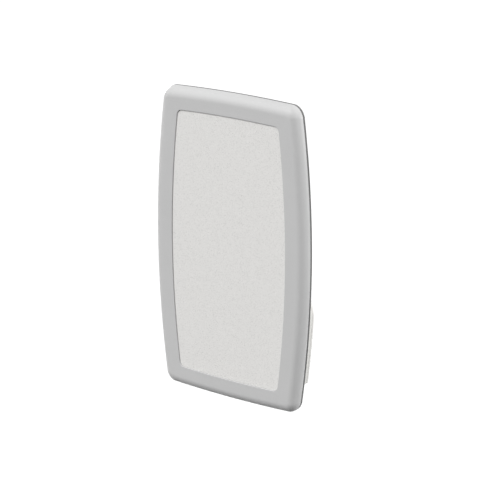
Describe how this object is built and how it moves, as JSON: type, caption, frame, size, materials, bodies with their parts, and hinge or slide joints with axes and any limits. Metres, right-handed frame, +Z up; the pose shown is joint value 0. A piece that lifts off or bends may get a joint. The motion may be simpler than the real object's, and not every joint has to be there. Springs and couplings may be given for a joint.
{
  "type": "baby changing station",
  "caption": "Upright wall-mounted fold-down baby changing station with a bowed moulded shell, recessed speckled front panel, hollow tray, safety strap and gas-spring hinge",
  "frame": {"origin": "centre of the wall plate on the plane of the wall", "axes": "+Z up, +Y into the wall, so the front of the closed bed faces -Y; +X to the right of someone facing the unit"},
  "size_m": [0.52, 0.104, 0.895],
  "materials": {
    "grey_moulding": "finely textured grey moulding",
    "speckled_moulding": "off-white moulding with fine granite speckle",
    "edge_rubber": "matt grey rubber edge",
    "dark_rubber": "matt dark rubber",
    "zinc_steel": "zinc-plated pressed steel",
    "bright_steel": "polished steel",
    "black_steel": "black satin paint",
    "strap_webbing": "woven dark grey webbing",
    "black_plastic": "black moulded plastic",
    "liner_paper": "soft white paper"
  },
  "bodies": {
    "chassis": {"bumper_left": "dark_rubber", "bumper_right": "dark_rubber", "chassis_cover": "speckled_moulding", "cover_screw_1": "bright_steel", "cover_screw_2": "bright_steel", "cover_screw_3": "bright_steel", "cover_screw_4": "bright_steel", "gas_cylinder_left": "black_steel", "gas_cylinder_right": "black_steel", "hinge_bracket_left": "zinc_steel", "hinge_bracket_right": "zinc_steel", "hinge_pin_left": "bright_steel", "hinge_pin_right": "bright_steel", "liner_bin": "grey_moulding", "liner_stack": "liner_paper", "lower_clamp_left": "zinc_steel", "lower_clamp_right": "zinc_steel", "upper_clamp_left": "zinc_steel", "upper_clamp_right": "zinc_steel", "wall_frame": "speckled_moulding", "wall_plate": "zinc_steel"},
    "bed": {"bag_hook_left": "grey_moulding", "bag_hook_right": "grey_moulding", "bed_seal": "edge_rubber", "bed_shell": "grey_moulding", "buckle_frame": "black_plastic", "buckle_pin": "bright_steel", "changing_tray": "speckled_moulding", "crank_left": "zinc_steel", "crank_right": "zinc_steel", "front_panel": "speckled_moulding", "hinge_beam": "zinc_steel", "hinge_leaf_left": "zinc_steel", "hinge_leaf_right": "zinc_steel", "strap_anchor_left": "black_plastic", "strap_anchor_right": "black_plastic", "strap_left": "strap_webbing", "strap_right": "strap_webbing", "tray_screw_1": "bright_steel", "tray_screw_10": "bright_steel", "tray_screw_2": "bright_steel", "tray_screw_3": "bright_steel", "tray_screw_4": "bright_steel", "tray_screw_5": "bright_steel", "tray_screw_6": "bright_steel", "tray_screw_7": "bright_steel", "tray_screw_8": "bright_steel", "tray_screw_9": "bright_steel"},
    "rod_left": {"piston_rod_left": "bright_steel", "rod_yoke_left": "zinc_steel"},
    "rod_right": {"piston_rod_right": "bright_steel", "rod_yoke_right": "zinc_steel"},
    "flap": {"liner_flap": "grey_moulding"},
    "lever": {"buckle_lever": "grey_moulding"}
  },
  "joints": [
    {"name": "bed_fold", "type": "hinge", "parent": "chassis", "child": "bed", "pos_m": [0, -0.0645, -0.181], "axis": [1, 0, 0], "range_deg": [0, 90], "stiffness_Nm_per_rad": 5, "springref_deg": -34.38},
    {"name": "rod_slide_left", "type": "slide", "parent": "chassis", "child": "rod_left", "axis": [0, 0, 1], "range_m": [0, 0.0652]},
    {"name": "rod_slide_right", "type": "slide", "parent": "chassis", "child": "rod_right", "axis": [0, 0, 1], "range_m": [0, 0.0652]},
    {"name": "flap_lift", "type": "hinge", "parent": "chassis", "child": "flap", "pos_m": [0, -0.04545, 0.057], "axis": [-1, 0, 0], "range_deg": [0, 40]},
    {"name": "buckle_cam", "type": "hinge", "parent": "bed", "child": "lever", "pos_m": [-0.0088, -0.0766, 0.225], "axis": [0, 0, 1], "range_deg": [0, 70]}
  ],
  "couplings": [
    {"joint": "rod_slide_left", "follows": "bed_fold", "m_per_rad": 0.041414},
    {"joint": "rod_slide_right", "follows": "bed_fold", "m_per_rad": 0.041414}
  ]
}
